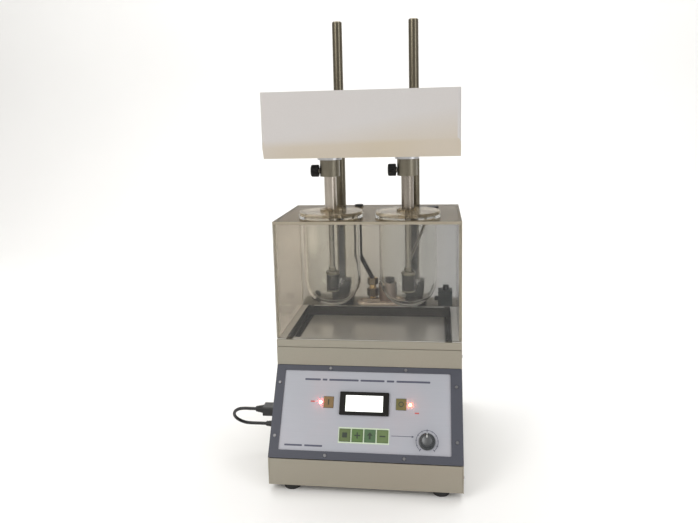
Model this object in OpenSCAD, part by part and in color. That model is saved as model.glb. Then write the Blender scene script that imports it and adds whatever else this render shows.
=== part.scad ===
/* [Cabinet] */
// Width of the cabinet
base_w = 330; // [322:1:340]
// Depth of the cabinet
base_d = 390; // [386:1:400]
// Height of the rubber feet
foot_h = 12; // [10:1:16]
// Height of the front skirt under the sloped panel
skirt_h = 49; // [44:1:56]
// Vertical rise of the sloped panel
panel_rise = 130; // [128:1:136]
// Setback of the sloped panel from bottom to top
panel_set = 93; // [90:1:96]
// Height of the apron between the panel and the bath
apron_h = 47; // [40:1:52]
// Height of the lip on the deck cap
lip_h = 13; // [10:1:16]
// Sheet thickness
sheet = 2; // [1.5:0.1:2.5]

/* [Bath] */
// Height of the bath above the deck, with its cover
bath_h = 214; // [208:1:222]
// Depth of the bath, front to back
bath_d = 222; // [216:1:226]
// Thickness of the clear panes
pane = 5; // [4:0.5:6]
// Depth of the sunken basin
basin_h = 20; // [14:1:26]

/* [Stations] */
// Distance of each station from the middle
station_x = 70; // [68:0.5:72]
// Outside diameter of a vessel
vessel_d = 104; // [100:1:106]
// Wall of a vessel
vessel_t = 2.5; // [2:0.1:3]
// Diameter of a stirring shaft
shaft_d = 10; // [9.4:0.1:10.1]
// Diameter of a spindle tube
spindle_d = 22; // [20:0.5:23]
// Diameter of a basket
basket_d = 25; // [22:0.5:26]
// Height of a basket
basket_h = 38; // [36:0.5:40]

/* [Pillars and head] */
// Distance of each pillar from the middle
pillar_x = 77; // [74:0.5:80]
// Diameter of a pillar
pillar_d = 20; // [18:0.5:20]
// Height of the pillar tops above the bench
pillar_top = 822; // [815:1:830]
// Width of the drive head
head_w = 322; // [316:1:328]
// Depth of the drive head
head_d = 340; // [338:1:342]
// Height of the drive head
head_h = 108; // [106:1:112]
// Height of the bevel along the lower front edge of the head
head_bevel = 30; // [20:1:36]

/* [Hidden] */
$fn = 64;

// Planes of the cabinet
hx = base_w / 2;
y0 = -base_d / 2;
y1 = base_d / 2;
z0 = foot_h;
z_skirt = z0 + skirt_h;
z_top = z_skirt + panel_rise;
z_deck = z_top + apron_h;
z_lip = z_deck - lip_h;
y_apron = y0 + panel_set;
inx = hx - sheet;

// Frame of the sloped panel: x across, s up the slope, h out of the panel
slope = sqrt(panel_set * panel_set + panel_rise * panel_rise);
pa = atan2(panel_rise, panel_set);
uy = panel_set / slope;
uz = panel_rise / slope;
ny = -uz;
nz = uy;
bez_t = 2;
plate_t = 2;
function pp(s, h) = [y0 + s * uy + h * ny, z_skirt + s * uz + h * nz];
h_under = -(bez_t + 0.02);
s_low = h_under * uz / uy;

// Layout on the sloped panel
win = [-149, 13.5, 145, 150.5];
key_w = 18.6;
key_l = 20.6;
key_y = 41.5;
key_xs = [-35.2, -13.6, 8.0, 29.6];
side_key_w = 17.2;
side_key_l = 19.2;
side_key_y = 96;
side_key_xs = [-67, 60];
lamp_xs = [-81, 75.5];
lamp_y = 95.5;
disp = [-47, 75, 39, 114.6];
lit = [-36.6, 81, 28.6, 108.6];
knob_x = 104.8;
knob_y = 36;
screw_pts = [[-67, 6.6], [67, 6.6], [-67, 155], [67, 155], [-157, 36], [-157, 128], [155, 36], [155, 128]];

// Bath and stations
yb0 = y_apron + 2;
yb1 = yb0 + bath_d;
z_rim = z_deck + 1.5;
z_cover = z_deck + bath_h - pane;
z_covtop = z_deck + bath_h;
station_y = y0 + 160;
basin_x = hx - 15;
basin_y0 = yb0 + 10;
basin_y1 = yb1 - 10;
z_floor = z_deck - basin_h;
vr = vessel_d / 2;
vi = vr - vessel_t;
z_flange = z_covtop + 0.3;
z_vtop = z_flange + 5;
z_vbot = z_vtop - 172.5;
z_lid = z_vtop + 0.3;
lid_hole = 16;
z_bask = 312;
z_btop = z_bask + basket_h;

// Head and drive
pillar_y = y0 + 340;
pr = pillar_d / 2;
hy0 = y0 + 30;
hy1 = hy0 + head_d;
hz0 = 566;
hz1 = hz0 + head_h;
hw = head_w / 2;
bev = 12;
plate = 4;
motor_y = station_y + 105;
sp_r = spindle_d / 2;
bore_r = shaft_d / 2 + 0.05;
z_chuck = 526;
z_screw = 536;
z_pulley = 624;
pul_r = 22;
mot_r = 14;

// Side lead
plug_y = -95;
plug_z = 101;
gland_y = -65;
gland_z = 58;
lead_r = 3;
route = [[-211, -95, 101], [-222, -95, 101], [-232, -95, 101], [-242, -94, 99.5], [-250.5, -90.5, 94.5],
  [-256, -85.5, 87.5], [-258, -80, 79.5], [-256, -74.5, 71.5], [-250.5, -69.5, 64.5], [-242, -66, 59.5],
  [-232, -65, 58], [-216, -65, 58], [-201, -65, 58]];

// Helpers
module yz(x, t) { translate([x, 0, 0]) rotate([90, 0, 90]) linear_extrude(t) children(); }
module box(a, b) { translate(a) cube([b[0] - a[0], b[1] - a[1], b[2] - a[2]]); }
module tube(r, ri, h) { difference() { cylinder(r = r, h = h); translate([0, 0, -1]) cylinder(r = ri, h = h + 2); } }
module on_panel() { translate([0, y0, z_skirt]) rotate([pa, 0, 0]) children(); }
module at_stations() { for (sx = [-1, 1]) translate([sx * station_x, station_y, 0]) children(); }
module at_pillars() { for (sx = [-1, 1]) translate([sx * pillar_x, pillar_y, 0]) children(); }
module rrect(ax, ay, bx, by, r) {
  translate([ax + r, ay]) square([bx - ax - 2 * r, by - ay]);
  translate([ax, ay + r]) square([bx - ax, by - ay - 2 * r]);
  for (p = [[ax + r, ay + r], [bx - r, ay + r], [ax + r, by - r], [bx - r, by - r]]) translate(p) circle(r = r);
}
module plate_xz(ax, az, bx, bz, r, y, t) { translate([0, y + t, 0]) rotate([90, 0, 0]) linear_extrude(t) rrect(ax, az, bx, bz, r); }
module rod(a, b, r) {
  d = b - a;
  len = norm(d);
  translate(a) rotate([0, acos(d[2] / len), atan2(d[1], d[0])]) cylinder(r = r, h = len);
}

// Sweep of a round cord along its route
function unit(v) = v / norm(v);
function tang(p, i) = unit(p[min(i + 1, len(p) - 1)] - p[max(i - 1, 0)]);
module cord(p, r, ref, n = 10) {
  rings = [for (i = [0:len(p) - 1]) let (t = i == 0 || i == len(p) - 1 ? [i == 0 ? -1 : 1, 0, 0] : tang(p, i),
    a = unit(cross(t, ref)), b = cross(t, a)) [for (k = [0:n - 1]) p[i] + r * cos(360 * k / n) * a + r * sin(360 * k / n) * b]];
  pts = [for (q = rings) each q];
  m = len(p);
  faces = concat([[for (k = [0:n - 1]) n - 1 - k]], [[for (k = [0:n - 1]) (m - 1) * n + k]],
    [for (i = [0:m - 2]) for (k = [0:n - 1]) [i * n + k, i * n + (k + 1) % n, (i + 1) * n + (k + 1) % n, (i + 1) * n + k]]);
  polyhedron(points = pts, faces = [for (f = faces) [for (k = [len(f) - 1:-1:0]) f[k]]], convexity = 6);
}

// ---- Cabinet ----
module base_pan() {
  color([0.62, 0.6, 0.53]) difference() {
    box([-inx, y0 + sheet, z0], [inx, y1 - sheet, z0 + sheet]);
    for (i = [-4:4]) box([i * 16 - 3, 60, z0 - 1], [i * 16 + 3, 110, z0 + sheet + 1]);
  }
}

module side_sheet() {
  polygon([[y0, z0], [y1, z0], [y1, z_lip - 1], [y_apron, z_lip - 1], [y_apron, z_top + 0.2],
    pp(slope + 0.12, h_under), [y0, pp(s_low, h_under)[1]]]);
}

module side_panels() {
  color([0.62, 0.6, 0.53]) {
    difference() {
      union() {
        yz(-hx, sheet) side_sheet();
        box([-inx, y_apron + 2 * sheet, z_lip - 25], [-inx + sheet, y1 - 2 * sheet, z_deck - sheet]);
      }
      box([-hx - 1, plug_y - 15.2, plug_z - 10.2], [-inx + 0.5, plug_y + 15.2, plug_z + 10.2]);
      translate([-hx - 1, gland_y, gland_z]) rotate([0, 90, 0]) cylinder(r = 6.2, h = sheet + 2);
    }
    union() {
      yz(inx, sheet) side_sheet();
      box([inx - sheet, y_apron + 2 * sheet, z_lip - 25], [inx, y1 - 2 * sheet, z_deck - sheet]);
    }
  }
}

module front_skirt() {
  color([0.6, 0.585, 0.52]) box([-inx, y0, z0], [inx, y0 + sheet, z_skirt - 2]);
}

module front_apron() {
  color([0.63, 0.6, 0.52]) {
    box([-inx, y_apron, z_top + 0.4], [inx, y_apron + sheet, z_lip - 1]);
    box([-inx, y_apron + sheet, z_lip - 25], [inx, y_apron + 2 * sheet, z_deck - sheet]);
  }
}

inlet_x = 95;
inlet_z = 66;
switch_x = 66;
module rear_panel() {
  color([0.6, 0.585, 0.52]) difference() {
    union() {
      box([-inx, y1 - sheet, z0], [inx, y1, z_lip - 1]);
      box([-inx, y1 - 2 * sheet, z_lip - 25], [inx, y1 - sheet, z_deck - sheet]);
    }
    box([switch_x - 9.2, y1 - 10, inlet_z - 13.2], [inlet_x + 16.2, y1 + 1, inlet_z + 13.2]);
    for (i = [0:7]) box([-120 + i * 14, y1 - 10, 50], [-116 + i * 14, y1 + 1, 110]);
  }
}

module deck_cap() {
  color([0.64, 0.61, 0.53]) difference() {
    box([-hx, y_apron, z_lip + 0.2], [hx, y1, z_deck]);
    box([-inx, y_apron + sheet, z_lip - 1], [inx, y1 - sheet, z_deck - sheet]);
    box([-basin_x - 0.4, basin_y0 - 0.4, z_lip], [basin_x + 0.4, basin_y1 + 0.4, z_deck + 1]);
    at_pillars() translate([0, 0, z_lip]) cylinder(r = 6.2, h = lip_h + 1);
  }
}

// ---- Control panel ----
module panel_bezel() {
  color([0.35, 0.35, 0.39]) on_panel() difference() {
    translate([-hx, 0, -bez_t]) cube([base_w, slope, bez_t]);
    translate([0, 0, -bez_t - 1]) linear_extrude(bez_t + 2) rrect(win[0], win[1], win[2], win[3], 2);
    for (p = screw_pts) translate([p[0], p[1], -bez_t - 1]) cylinder(r = 1.6, h = bez_t + 2);
  }
}

module control_panel() {
  color([0.72, 0.73, 0.77]) on_panel() difference() {
    translate([-160, 2.5, -bez_t - plate_t]) cube([320, slope - 4.5, plate_t]);
    translate([0, 0, -bez_t - plate_t - 1]) {
      for (x = key_xs) translate([x - key_w / 2 - 0.4, key_y - key_l / 2 - 0.4, 0]) cube([key_w + 0.8, key_l + 0.8, 4]);
      for (x = side_key_xs) translate([x - side_key_w / 2 - 0.4, side_key_y - side_key_l / 2 - 0.4, 0]) cube([side_key_w + 0.8, side_key_l + 0.8, 4]);
      for (x = lamp_xs) translate([x, lamp_y, 0]) cylinder(r = 2.6, h = 4);
      translate([knob_x, knob_y, 0]) cylinder(r = 3.6, h = 4);
      translate([lit[0] - 0.2, lit[1] - 0.2, 0]) cube([lit[2] - lit[0] + 0.4, lit[3] - lit[1] + 0.4, 4]);
      for (p = screw_pts) translate([p[0], p[1], 0]) cylinder(r = 1.6, h = 4);
    }
  }
}

module display_bezel() {
  color([0.15, 0.14, 0.13]) on_panel() translate([0, 0, -bez_t]) linear_extrude(3.4) difference() {
    rrect(disp[0], disp[1], disp[2], disp[3], 1.5);
    translate([lit[0] - 0.1, lit[1] - 0.1]) square([lit[2] - lit[0] + 0.2, lit[3] - lit[1] + 0.2]);
  }
}

module display_glass() {
  color([0.95, 0.96, 0.93]) on_panel() translate([lit[0], lit[1], -7]) cube([lit[2] - lit[0], lit[3] - lit[1], 7.2]);
}

module control_board() {
  color([0.1, 0.35, 0.2]) on_panel() {
    translate([-104, 20, -17.6]) cube([228, 104, 1.6]);
    for (p = [[-98, 26], [118, 60], [-98, 118], [118, 118]]) translate([p[0], p[1], -16]) cylinder(r = 3, h = 16 - bez_t - plate_t);
    translate([-44, 78, -16]) cube([80, 34, 9]);
    translate([knob_x, knob_y, -16]) cylinder(r = 11, h = 10);
    translate([knob_x, knob_y, -6]) cylinder(r = 3.4, h = 6);
    translate([knob_x, knob_y, 0]) cylinder(r = 3, h = 9.5);
    for (x = key_xs) translate([x - 3, key_y - 3, -16]) cube([6, 6, 9.2]);
    for (x = side_key_xs) translate([x - 3, side_key_y - 3, -16]) cube([6, 6, 9.2]);
    translate([-90, 64, -22]) cube([30, 12, 4.4]);
  }
}

module indicator_lamps() {
  color([0.9, 0.2, 0.12]) on_panel() for (x = lamp_xs) translate([x, lamp_y, 0]) {
    translate([0, 0, -15.9]) cylinder(r = 1, h = 8);
    translate([0, 0, -8]) cylinder(r = 2.5, h = 7);
    translate([0, 0, -1]) difference() { sphere(r = 2.5); translate([-3, -3, -3]) cube([6, 6, 3]); }
  }
}

module panel_screws() {
  color([0.75, 0.75, 0.76]) on_panel() for (p = screw_pts) translate([p[0], p[1], 0]) difference() {
    union() {
      translate([0, 0, -bez_t - plate_t - 3]) cylinder(r = 1.5, h = bez_t + plate_t + 3.5);
      cylinder(r1 = 2.9, r2 = 2.3, h = 1.5);
    }
    translate([-3, -0.4, 0.8]) cube([6, 0.8, 2]);
  }
}

module key_cap(x, y, w, l) {
  on_panel() translate([x, y, 0]) {
    translate([-w / 2, -l / 2, -5.5]) cube([w, l, 4.7]);
    translate([-w / 2 - 1, -l / 2 - 1, -5.5]) cube([w + 2, l + 2, 1.2]);
  }
}
module key_1() { color([0.41, 0.49, 0.29]) key_cap(key_xs[0], key_y, key_w, key_l); }
module key_2() { color([0.36, 0.5, 0.27]) key_cap(key_xs[1], key_y, key_w, key_l); }
module key_3() { color([0.3, 0.44, 0.29]) key_cap(key_xs[2], key_y, key_w, key_l); }
module key_4() { color([0.41, 0.5, 0.3]) key_cap(key_xs[3], key_y, key_w, key_l); }
module key_left() { color([0.5, 0.45, 0.28]) key_cap(side_key_xs[0], side_key_y, side_key_w, side_key_l); }
module key_right() { color([0.45, 0.47, 0.27]) key_cap(side_key_xs[1], side_key_y, side_key_w, side_key_l); }

module speed_knob() {
  color([0.33, 0.34, 0.34]) on_panel() translate([knob_x, knob_y, 0]) difference() {
    union() {
      translate([0, 0, -1.6]) cylinder(r1 = 14, r2 = 13.6, h = 3);
      translate([0, 0, 1.4]) cylinder(r1 = 10.6, r2 = 9.8, h = 12.6);
      translate([0, 0, 14]) cylinder(r1 = 9.2, r2 = 8.6, h = 0.8);
    }
    translate([0, 0, -2]) cylinder(r = 4.2, h = 3);
    translate([0, 0, 0.9]) cylinder(r = 3.05, h = 9.6);
    translate([-0.6, 5.5, 13.9]) cube([1.2, 5, 2]);
  }
}

// ---- Feet and electrics ----
module rubber_feet() {
  color([0.1, 0.1, 0.1]) for (sx = [-1, 1]) for (y = [y0 + 21, y1 - 21]) translate([sx * 128, y, 0]) difference() {
    cylinder(r1 = 14, r2 = 16, h = foot_h);
    translate([0, 0, -1]) cylinder(r = 5, h = 5);
  }
}

module power_supply() {
  color([0.3, 0.3, 0.32]) {
    box([-120, 20, z0 + sheet], [-40, 34, z0 + 58]);
    box([-120, 86, z0 + sheet], [-40, 100, z0 + 58]);
    box([-120, 34, z0 + 4], [-100, 86, z0 + 56]);
    box([-60, 34, z0 + 4], [-40, 86, z0 + 56]);
    box([-100, 38, z0 + 8], [-60, 82, z0 + 54]);
  }
}

module mains_inlet() {
  color([0.1, 0.1, 0.11]) {
    difference() {
      union() {
        plate_xz(switch_x - 14, inlet_z - 18, inlet_x + 21, inlet_z + 18, 4, y1, 2.5);
        box([switch_x - 9, y1 - 20, inlet_z - 13], [inlet_x + 16, y1 + 1, inlet_z + 13]);
      }
      box([inlet_x - 12, y1 - 17, inlet_z - 8], [inlet_x + 12, y1 + 4, inlet_z + 8]);
      box([switch_x - 7, y1 - 15, inlet_z - 10.2], [switch_x + 7, y1 + 4, inlet_z + 10.2]);
    }
    for (p = [[-7, -2], [0, 2], [7, -2]]) box([inlet_x + p[0] - 1, y1 - 17.5, inlet_z + p[1] - 2], [inlet_x + p[0] + 1, y1 - 5, inlet_z + p[1] + 2]);
  }
}

module power_switch() {
  color([0.12, 0.12, 0.13]) translate([switch_x, y1 - 4, inlet_z]) difference() {
    rotate([0, 90, 0]) translate([0, 0, -6.6]) cylinder(r = 9.6, h = 13.2);
    box([-8, -12, -12], [8, -5, 12]);
    translate([0, 11.5, 6]) rotate([0, 90, 0]) translate([0, 0, -8]) cylinder(r = 9, h = 16);
  }
}

module side_socket() {
  color([0.12, 0.12, 0.13]) difference() {
    union() {
      box([-hx - 2.5, plug_y - 21, plug_z - 14], [-hx, plug_y + 21, plug_z + 14]);
      box([-hx - 0.5, plug_y - 15, plug_z - 10], [-hx + 20, plug_y + 15, plug_z + 10]);
    }
    for (sy = [-1, 1]) translate([-hx - 3, plug_y + sy * 18, plug_z]) rotate([0, 90, 0]) cylinder(r = 1.6, h = 4);
  }
}

module lead_plug() {
  color([0.07, 0.07, 0.08]) translate([-hx - 2.5, plug_y, plug_z]) {
    translate([-28, 0, 0]) rotate([0, 90, 0]) linear_extrude(28) rrect(-8.5, -13, 8.5, 13, 3);
    translate([-43.5, 0, 0]) rotate([0, 90, 0]) cylinder(r1 = 4.6, r2 = 7.5, h = 15.5);
  }
}

module lead_gland() {
  color([0.09, 0.09, 0.1]) translate([-hx, gland_y, gland_z]) rotate([0, -90, 0]) {
    translate([0, 0, -8]) cylinder(r = 6, h = 8.5);
    translate([0, 0, -6]) cylinder(r = 10, h = 4, $fn = 6);
    cylinder(r = 11, h = 4);
    translate([0, 0, 4]) cylinder(r1 = 8, r2 = 4.2, h = 32);
  }
}

module lead() { color([0.06, 0.06, 0.07]) cord(route, lead_r, [0, 0.82, 0.57]); }

// ---- Pillars ----
module pillars() {
  color([0.78, 0.77, 0.75]) at_pillars() {
    translate([0, 0, z_deck - 14]) cylinder(r = 6, h = 14.5);
    translate([0, 0, z_deck]) cylinder(r = pr, h = pillar_top - z_deck - 2);
    translate([0, 0, pillar_top - 2]) cylinder(r1 = pr, r2 = pr - 2, h = 2);
  }
}

module pillar_blocks() {
  color([0.12, 0.12, 0.12]) at_pillars() difference() {
    translate([0, 0, z_deck]) linear_extrude(52) rrect(-22, -19, 22, 19, 4);
    translate([0, 0, z_deck - 1]) cylinder(r = pr + 0.1, h = 60);
  }
}

module pillar_nuts() {
  color([0.7, 0.7, 0.7]) at_pillars() translate([0, 0, z_deck - sheet - 10]) difference() {
    cylinder(r = 11, h = 10, $fn = 6);
    translate([0, 0, -1]) cylinder(r = 6.1, h = 12);
  }
}

// ---- Bath ----
module bath_basin() {
  color([0.6, 0.6, 0.6]) difference() {
    union() {
      box([-basin_x, basin_y0, z_floor], [basin_x, basin_y1, z_deck + 0.5]);
      box([-hx + 1, yb0 + 1, z_deck], [hx - 1, yb1 - 1, z_rim]);
    }
    box([-basin_x + 1.5, basin_y0 + 1.5, z_floor + 1.5], [basin_x - 1.5, basin_y1 - 1.5, z_rim + 1]);
  }
}

module wide_panes() {
  color([0.75, 0.76, 0.72, 0.35]) for (y = [yb0, yb1 - pane]) box([-hx, y, z_rim], [hx, y + pane, z_cover]);
}

module side_panes() {
  color([0.75, 0.76, 0.72, 0.35]) for (x = [-hx, hx - pane]) box([x, yb0 + pane, z_rim], [x + pane, yb1 - pane, z_cover]);
}

probe_top = [115, 65, 454];
probe_tip = [60, 65, 330];
cond_x = -34;
cond_y = yb1 - 22;
module bath_cover() {
  color([0.75, 0.76, 0.72, 0.35]) difference() {
    box([-hx, yb0, z_cover], [hx, yb1, z_covtop]);
    at_stations() translate([0, 0, z_cover - 1]) cylinder(r = vr + 2, h = pane + 2);
    translate([114, 65, z_cover - 1]) cylinder(r = 9, h = pane + 2);
    translate([cond_x, cond_y, z_cover - 1]) cylinder(r = 6, h = pane + 2);
  }
}

heat_z = 259;
heat_loop = 13;
// Heater: a tube loop lying level over the bath floor, a terminal can with its cap and a foot on the rear pane, and a riser with two nuts
module heater() {
  color([0.66, 0.5, 0.38]) {
    for (y = [-heat_loop, heat_loop]) translate([-22.5, yb1 - 43 + y, heat_z]) rotate([0, 90, 0]) cylinder(r = 4.5, h = 63);
    translate([40.5, yb1 - 43, heat_z]) rotate([0, 0, -90]) rotate_extrude(angle = 180) translate([heat_loop, 0]) circle(r = 4.5);
    translate([-22.5, yb1 - 43, heat_z]) rotate([0, 0, 90]) rotate_extrude(angle = 180) translate([heat_loop, 0]) circle(r = 4.5);
    translate([21, yb1 - 25, heat_z - 5]) cylinder(r = 17, h = 42);
    translate([21, yb1 - 25, heat_z + 36.5]) cylinder(r = 12.5, h = 9.5);
    translate([21, yb1 - pane - 4.5, heat_z + 16]) rotate([90, 0, 0]) cylinder(r = 9, h = 8);
    translate([21, yb1 - pane, heat_z + 16]) rotate([90, 0, 0]) cylinder(r = 17, h = 5);
    translate([-9, cond_y, heat_z - 8]) cylinder(r = 7, h = 50);
    translate([-9, cond_y, heat_z + 8]) cylinder(r = 12, h = 15, $fn = 6);
    translate([-9, cond_y, heat_z + 32]) cylinder(r = 11, h = 13, $fn = 6);
  }
}

module heater_conduit() {
  a = [-9, cond_y, heat_z + 43];
  b = [cond_x, cond_y, 352];
  color([0.2, 0.2, 0.2]) {
    rod(a, b, 4.5);
    translate(b) sphere(r = 5.4);
    translate(b) cylinder(r = 4.5, h = z_covtop + 2 - b[2]);
    translate([cond_x, cond_y, z_covtop]) cylinder(r1 = 9, r2 = 8, h = 4);
  }
}

module temperature_probe() {
  color([0.55, 0.55, 0.55]) {
    rod(probe_tip, probe_top, 3);
    translate(probe_tip) sphere(r = 3);
    translate([114, 65, z_covtop]) cylinder(r1 = 12, r2 = 11, h = 4);
  }
}

module circulation_pump() {
  color([0.16, 0.18, 0.2]) {
    box([124, yb1 - pane - 30, 250], [152, yb1 - pane, 280]);
    translate([139.5, yb1 - pane - 15, 279.5]) cylinder(r = 6, h = 10);
    translate([124.5, yb1 - pane - 15, 262]) rotate([0, -90, 0]) cylinder(r = 5, h = 8);
  }
}

// ---- Vessels ----
module vessel() {
  difference() {
    union() {
      translate([0, 0, z_vbot + vr]) sphere(r = vr);
      translate([0, 0, z_vbot + vr]) cylinder(r = vr, h = z_vtop - z_vbot - vr);
      translate([0, 0, z_flange]) cylinder(r = vr + 7, h = 5);
    }
    translate([0, 0, z_vbot + vr]) sphere(r = vi);
    translate([0, 0, z_vbot + vr]) cylinder(r = vi, h = z_vtop - z_vbot);
  }
}
module vessel_left() { color([0.8, 0.83, 0.82, 0.35]) translate([-station_x, station_y, 0]) vessel(); }
module vessel_right() { color([0.8, 0.83, 0.82, 0.35]) translate([station_x, station_y, 0]) vessel(); }

module lid() {
  difference() {
    union() {
      translate([0, 0, z_lid - 3]) cylinder(r = vi - 1, h = 4);
      translate([0, 0, z_lid]) cylinder(r = vr + 6, h = 5);
      translate([0, 0, z_lid + 4]) cylinder(r = 20, h = 5);
    }
    translate([0, 0, z_lid - 4]) cylinder(r = lid_hole, h = 20);
  }
}
module lid_left() { color([0.85, 0.86, 0.84, 0.5]) translate([-station_x, station_y, 0]) lid(); }
module lid_right() { color([0.85, 0.86, 0.84, 0.5]) translate([station_x, station_y, 0]) lid(); }

// ---- Spindles, shafts and baskets ----
module spindle() {
  difference() {
    union() {
      translate([0, 0, 464]) cylinder(r = sp_r, h = 176);
      translate([0, 0, z_chuck]) cylinder(r = 18, h = 29.5);
      translate([0, 0, 612.5]) cylinder(r = 15, h = 12);
      translate([0, 0, z_pulley - 1.5]) cylinder(r = pul_r + 3, h = 1.5);
      translate([0, 0, z_pulley]) cylinder(r = pul_r, h = 12);
      translate([0, 0, z_pulley + 12]) cylinder(r = pul_r + 3, h = 1.5);
    }
    translate([0, 0, 460]) cylinder(r = bore_r, h = 190);
    translate([0, 0, z_screw]) rotate([0, -90, 0]) cylinder(r = 3.05, h = 20);
  }
}
module spindle_left() { color([0.76, 0.75, 0.73]) translate([-station_x, station_y, 0]) spindle(); }
module spindle_right() { color([0.76, 0.75, 0.73]) translate([station_x, station_y, 0]) spindle(); }

module thumbscrew() {
  translate([0, 0, z_screw]) rotate([0, -90, 0]) {
    translate([0, 0, 5.6]) cylinder(r = 3, h = 15);
    translate([0, 0, 18.6]) cylinder(r = 5.5, h = 2.4);
    translate([0, 0, 20]) cylinder(r = 11, h = 13);
    translate([0, 0, 33]) cylinder(r1 = 11, r2 = 9.5, h = 1.5);
  }
}
module thumbscrew_left() { color([0.08, 0.08, 0.08]) translate([-station_x, station_y, 0]) thumbscrew(); }
module thumbscrew_right() { color([0.08, 0.08, 0.08]) translate([station_x, station_y, 0]) thumbscrew(); }

module stir_shaft() { translate([0, 0, z_btop + 8]) cylinder(r = shaft_d / 2, h = 612 - z_btop - 8); }
module shaft_left() { color([0.7, 0.7, 0.7]) translate([-station_x, station_y, 0]) stir_shaft(); }
module shaft_right() { color([0.7, 0.7, 0.7]) translate([station_x, station_y, 0]) stir_shaft(); }

module basket() {
  translate([0, 0, z_bask]) cylinder(r = basket_d / 2 - 1.4, h = basket_h - 6);
  translate([0, 0, z_bask]) cylinder(r = basket_d / 2 - 0.6, h = 3);
  translate([0, 0, z_btop - 6]) cylinder(r = basket_d / 2, h = 6);
  translate([0, 0, z_btop]) cylinder(r = 7, h = 8);
}
module basket_left() { color([0.35, 0.34, 0.33]) translate([-station_x, station_y, 0]) basket(); }
module basket_right() { color([0.35, 0.34, 0.33]) translate([station_x, station_y, 0]) basket(); }

// ---- Drive head ----
module head_cover() {
  color([0.8, 0.79, 0.77]) difference() {
    intersection() {
      yz(-hw, head_w) polygon([[hy0 + bev, hz0], [hy0, hz0 + head_bevel], [hy0, hz1], [hy1, hz1], [hy1, hz0]]);
      translate([0, 0, hz0 - 1]) linear_extrude(head_h + 2) rrect(-hw, hy0, hw, hy1, 6);
    }
    intersection() {
      yz(-hw + 2, head_w - 4) polygon([[hy0 + bev + 2.6, hz0 - 1], [hy0 + 2, hz0 + head_bevel + 0.4], [hy0 + 2, hz1 - 2], [hy1 - 2, hz1 - 2], [hy1 - 2, hz0 - 1]]);
      translate([0, 0, hz0 - 2]) linear_extrude(head_h) rrect(-hw + 2, hy0 + 2, hw - 2, hy1 - 2, 4);
    }
    at_pillars() translate([0, 0, hz1 - 5]) cylinder(r = pr + 2, h = 10);
    translate([pillar_x, hy1 - 5, 620]) rotate([-90, 0, 0]) cylinder(r = 5, h = 10);
  }
}

module head_base() {
  color([0.7, 0.7, 0.7]) difference() {
    translate([0, 0, hz0]) linear_extrude(plate) rrect(-hw + 2.2, hy0 + bev + 2.6, hw - 2.2, hy1 - 2.2, 4);
    at_stations() translate([0, 0, hz0 - 1]) cylinder(r = 22.2, h = 8);
    at_pillars() translate([0, 0, hz0 - 1]) cylinder(r = 18.2, h = 8);
  }
}

module drive_motor() {
  color([0.25, 0.26, 0.28]) translate([0, motor_y, hz0 + plate]) {
    cylinder(r = 30, h = 44);
    translate([0, 0, 44]) cylinder(r = 12, h = 3);
    translate([0, 0, 47]) cylinder(r = 4, h = 21);
  }
}

module motor_pulley() {
  color([0.72, 0.73, 0.75]) translate([0, motor_y, 0]) difference() {
    union() {
      translate([0, 0, z_pulley - 1.5]) cylinder(r = mot_r + 3, h = 1.5);
      translate([0, 0, z_pulley]) cylinder(r = mot_r, h = 12);
      translate([0, 0, z_pulley + 12]) cylinder(r = mot_r + 3, h = 1.5);
    }
    translate([0, 0, z_pulley - 3]) cylinder(r = 4.05, h = 20);
  }
}

module belt_line(g) {
  hull() {
    for (sx = [-1, 1]) translate([sx * station_x, station_y]) circle(r = pul_r + g);
    translate([0, motor_y]) circle(r = mot_r + g);
  }
}
module drive_belt() {
  color([0.1, 0.1, 0.1]) translate([0, 0, z_pulley + 1]) linear_extrude(10) difference() { belt_line(2.3); belt_line(0.4); }
}

module bearing_housings() {
  color([0.5, 0.5, 0.52]) at_stations() difference() {
    union() {
      translate([0, 0, 556]) cylinder(r = 22, h = 56);
      translate([0, 0, hz0 + plate]) cylinder(r = 32, h = 6);
    }
    translate([0, 0, 550]) cylinder(r = 15, h = 70);
  }
}

module spindle_bushes() {
  color([0.7, 0.55, 0.3]) at_stations() translate([0, 0, 556]) tube(14.95, sp_r + 0.05, 56);
}

module guide_bushes() {
  color([0.55, 0.55, 0.56]) difference() {
    at_pillars() {
      translate([0, 0, hz0]) cylinder(r = 18, h = 74);
      translate([0, 0, hz0 + plate]) cylinder(r = 26, h = 5);
    }
    at_pillars() translate([0, 0, hz0 - 1]) cylinder(r = pr + 0.05, h = 80);
    translate([pillar_x, pillar_y, 620]) rotate([-90, 0, 0]) cylinder(r = 4.05, h = 30);
  }
}

module head_lock_knob() {
  color([0.08, 0.08, 0.08]) translate([pillar_x, pillar_y, 620]) rotate([-90, 0, 0]) {
    translate([0, 0, pr + 0.5]) cylinder(r = 4, h = 23);
    translate([0, 0, 32]) cylinder(r = 14, h = 16);
  }
}

base_pan();
side_panels();
front_skirt();
front_apron();
rear_panel();
deck_cap();
panel_bezel();
control_panel();
display_bezel();
display_glass();
control_board();
indicator_lamps();
panel_screws();
rubber_feet();
power_supply();
mains_inlet();
side_socket();
lead();
lead_plug();
lead_gland();
pillars();
pillar_blocks();
pillar_nuts();
bath_basin();
wide_panes();
side_panes();
bath_cover();
heater();
heater_conduit();
temperature_probe();
circulation_pump();
power_switch();
key_1();
key_2();
key_3();
key_4();
key_left();
key_right();
speed_knob();
vessel_left();
vessel_right();
lid_left();
lid_right();
head_cover();
head_base();
drive_motor();
drive_belt();
bearing_housings();
spindle_bushes();
guide_bushes();
motor_pulley();
spindle_left();
spindle_right();
thumbscrew_left();
thumbscrew_right();
shaft_left();
shaft_right();
basket_left();
basket_right();
head_lock_knob();
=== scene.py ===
"""Dissolution tester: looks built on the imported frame, in metres, in the frame's own axes."""
import math

import bmesh
import bpy
from mathutils import Matrix, Vector


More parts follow.
